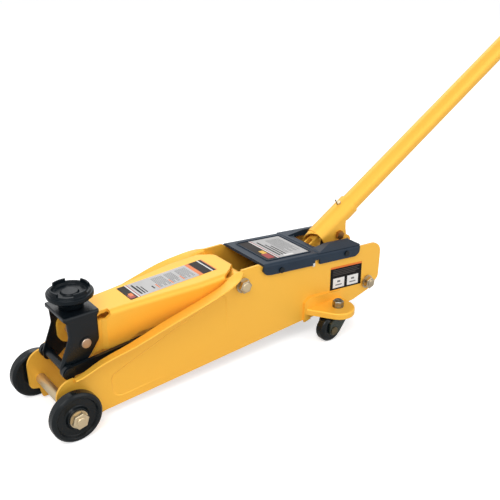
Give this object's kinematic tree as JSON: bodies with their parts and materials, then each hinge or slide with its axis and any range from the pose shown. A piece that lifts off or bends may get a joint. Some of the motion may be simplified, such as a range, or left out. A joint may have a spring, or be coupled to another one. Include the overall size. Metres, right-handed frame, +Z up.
{
  "type": "hydraulic trolley jack",
  "caption": "Low hydraulic trolley jack: two yellow side plates, a parallelogram lifting arm with a round saddle, rear casters and a long pump handle.",
  "frame": {"origin": "on the ground under the middle of the overall length, in the plane of symmetry", "axes": "+X towards the handle end, +Z up, -Y the left side plate; the saddle end faces -X"},
  "size_m": [1.0162, 0.171, 0.4874],
  "materials": {
    "yellow_enamel": "glossy enamel",
    "blue_black_enamel": "satin enamel",
    "black_steel": "satin black",
    "bright_zinc": "bright zinc plate",
    "yellow_zinc": "yellow passivated zinc",
    "ground_steel": "ground bar",
    "hard_chrome": "hard chrome rod",
    "spring_steel": "oiled spring wire",
    "cast_iron": "painted casting",
    "black_nylon": "moulded wheel",
    "grip_rubber": "ribbed sleeve",
    "caster_steel": "dark green-grey passivated"
  },
  "bodies": {
    "chassis": {"side_plate_left": "yellow_enamel", "side_plate_right": "yellow_enamel", "front_axle": "ground_steel", "front_spacers": "yellow_zinc", "front_nut_left": "yellow_zinc", "front_nut_right": "yellow_zinc", "pivot_shaft": "ground_steel", "pivot_nuts": "bright_zinc", "link_studs": "black_steel", "cover": "blue_black_enamel", "cover_screws": "black_steel", "reservoir": "cast_iron", "filler_plug": "black_nylon", "ram_gland": "cast_iron", "tank_cradle": "black_steel", "pump_block": "cast_iron", "spring_anchor": "black_steel", "return_spring_left": "spring_steel", "return_spring_right": "spring_steel", "pump_spring": "spring_steel", "rear_tie_bolt": "bright_zinc", "rear_nuts": "bright_zinc", "rear_spacers": "black_steel", "socket_bolt": "yellow_zinc", "caster_bracket_left": "yellow_enamel", "caster_bracket_right": "yellow_enamel", "kingpin_left": "bright_zinc", "kingpin_right": "bright_zinc", "kingpin_nut_left": "bright_zinc", "kingpin_nut_right": "bright_zinc"},
    "arm": {"lift_arm": "yellow_enamel", "lift_lever": "black_steel", "lever_pin": "ground_steel"},
    "bracket": {"saddle_bracket": "black_steel", "saddle_pin": "bright_zinc", "cross_pin": "black_steel"},
    "saddle_head": {"saddle": "black_steel", "saddle_clip": "spring_steel"},
    "links": {"link_bar_left": "black_steel", "link_bar_right": "black_steel"},
    "ram_slide": {"ram": "hard_chrome", "ram_crosshead": "cast_iron"},
    "wheel_front_left": {"front_wheel_left": "black_nylon"},
    "wheel_front_right": {"front_wheel_right": "black_nylon"},
    "fork_left": {"caster_fork_left": "caster_steel", "caster_axle_left": "caster_steel"},
    "fork_right": {"caster_fork_right": "caster_steel", "caster_axle_right": "caster_steel"},
    "wheel_rear_left": {"caster_wheel_left": "black_nylon"},
    "wheel_rear_right": {"caster_wheel_right": "black_nylon"},
    "rocker": {"handle_socket": "yellow_enamel", "roller_pin": "ground_steel", "set_screw": "yellow_zinc"},
    "roller": {"pump_roller": "ground_steel"},
    "plunger": {"pump_plunger": "hard_chrome"},
    "handle": {"lower_handle": "yellow_enamel", "upper_handle": "yellow_enamel", "handle_grip": "grip_rubber", "release_rod": "yellow_enamel"},
    "valve": {"release_valve": "bright_zinc"}
  },
  "joints": [
    {"name": "arm_lift", "type": "hinge", "parent": "chassis", "child": "arm", "pos_m": [-0.24059, 0, 0.112], "axis": [0, 1, 0], "range_deg": [-5.8, 56]},
    {"name": "bracket_level", "type": "hinge", "parent": "arm", "child": "bracket", "pos_m": [-0.44509, 0, 0.096], "axis": [0, 1, 0], "range_deg": [-56, 5.8]},
    {"name": "link_swing", "type": "hinge", "parent": "chassis", "child": "links", "pos_m": [-0.26609, 0, 0.086], "axis": [0, 1, 0], "range_deg": [-5.8, 56]},
    {"name": "ram_stroke", "type": "slide", "parent": "chassis", "child": "ram_slide", "axis": [-1, 0, 0], "range_m": [-0.00446, 0.04266], "deforming": ["return_spring_left", "return_spring_right"]},
    {"name": "saddle_swivel", "type": "hinge", "parent": "bracket", "child": "saddle_head", "pos_m": [-0.44729, 0, 0.133], "axis": [0, 0, 1], "continuous": true},
    {"name": "front_wheel_left_spin", "type": "hinge", "parent": "chassis", "child": "wheel_front_left", "pos_m": [-0.47809, -0.0548, 0.03], "axis": [0, 1, 0], "continuous": true},
    {"name": "front_wheel_right_spin", "type": "hinge", "parent": "chassis", "child": "wheel_front_right", "pos_m": [-0.47809, 0.0548, 0.03], "axis": [0, 1, 0], "continuous": true},
    {"name": "caster_left_swivel", "type": "hinge", "parent": "chassis", "child": "fork_left", "pos_m": [-0.09709, -0.063, 0.0405], "axis": [0, 0, 1], "range_deg": [-15, 195]},
    {"name": "caster_right_swivel", "type": "hinge", "parent": "chassis", "child": "fork_right", "pos_m": [-0.09709, 0.063, 0.0405], "axis": [0, 0, 1], "range_deg": [-195, 15]},
    {"name": "caster_left_roll", "type": "hinge", "parent": "fork_left", "child": "wheel_rear_left", "pos_m": [-0.11309, -0.063, 0.018], "axis": [0, 1, 0], "continuous": true},
    {"name": "caster_right_roll", "type": "hinge", "parent": "fork_right", "child": "wheel_rear_right", "pos_m": [-0.11309, 0.063, 0.018], "axis": [0, 1, 0], "continuous": true},
    {"name": "handle_pump", "type": "hinge", "parent": "chassis", "child": "rocker", "pos_m": [-0.05559, 0, 0.1228], "axis": [0, 1, 0], "range_deg": [-50, 0]},
    {"name": "roller_spin", "type": "hinge", "parent": "rocker", "child": "roller", "pos_m": [-0.03959, 0, 0.1108], "axis": [0, 1, 0], "continuous": true},
    {"name": "pump_stroke", "type": "slide", "parent": "chassis", "child": "plunger", "axis": [0, 0, 1], "range_m": [0, 0.01576], "deforming": ["pump_spring"]},
    {"name": "handle_twist", "type": "hinge", "parent": "rocker", "child": "handle", "pos_m": [-0.06228, 0, 0.13383], "axis": [0.8554, 0, 0.518], "range_deg": [0, 90]},
    {"name": "release_turn", "type": "hinge", "parent": "chassis", "child": "valve", "pos_m": [-0.1136, 0, 0.10275], "axis": [0.8554, 0, 0.518], "range_deg": [0, 90]}
  ],
  "couplings": [
    {"joint": "bracket_level", "follows": "arm_lift", "ratio": -1},
    {"joint": "link_swing", "follows": "arm_lift", "ratio": 1},
    {"joint": "ram_stroke", "follows": "arm_lift", "m_per_rad": 0.0436},
    {"joint": "pump_stroke", "follows": "handle_pump", "m_per_rad": -0.018},
    {"joint": "release_turn", "follows": "handle_twist", "ratio": 1}
  ]
}
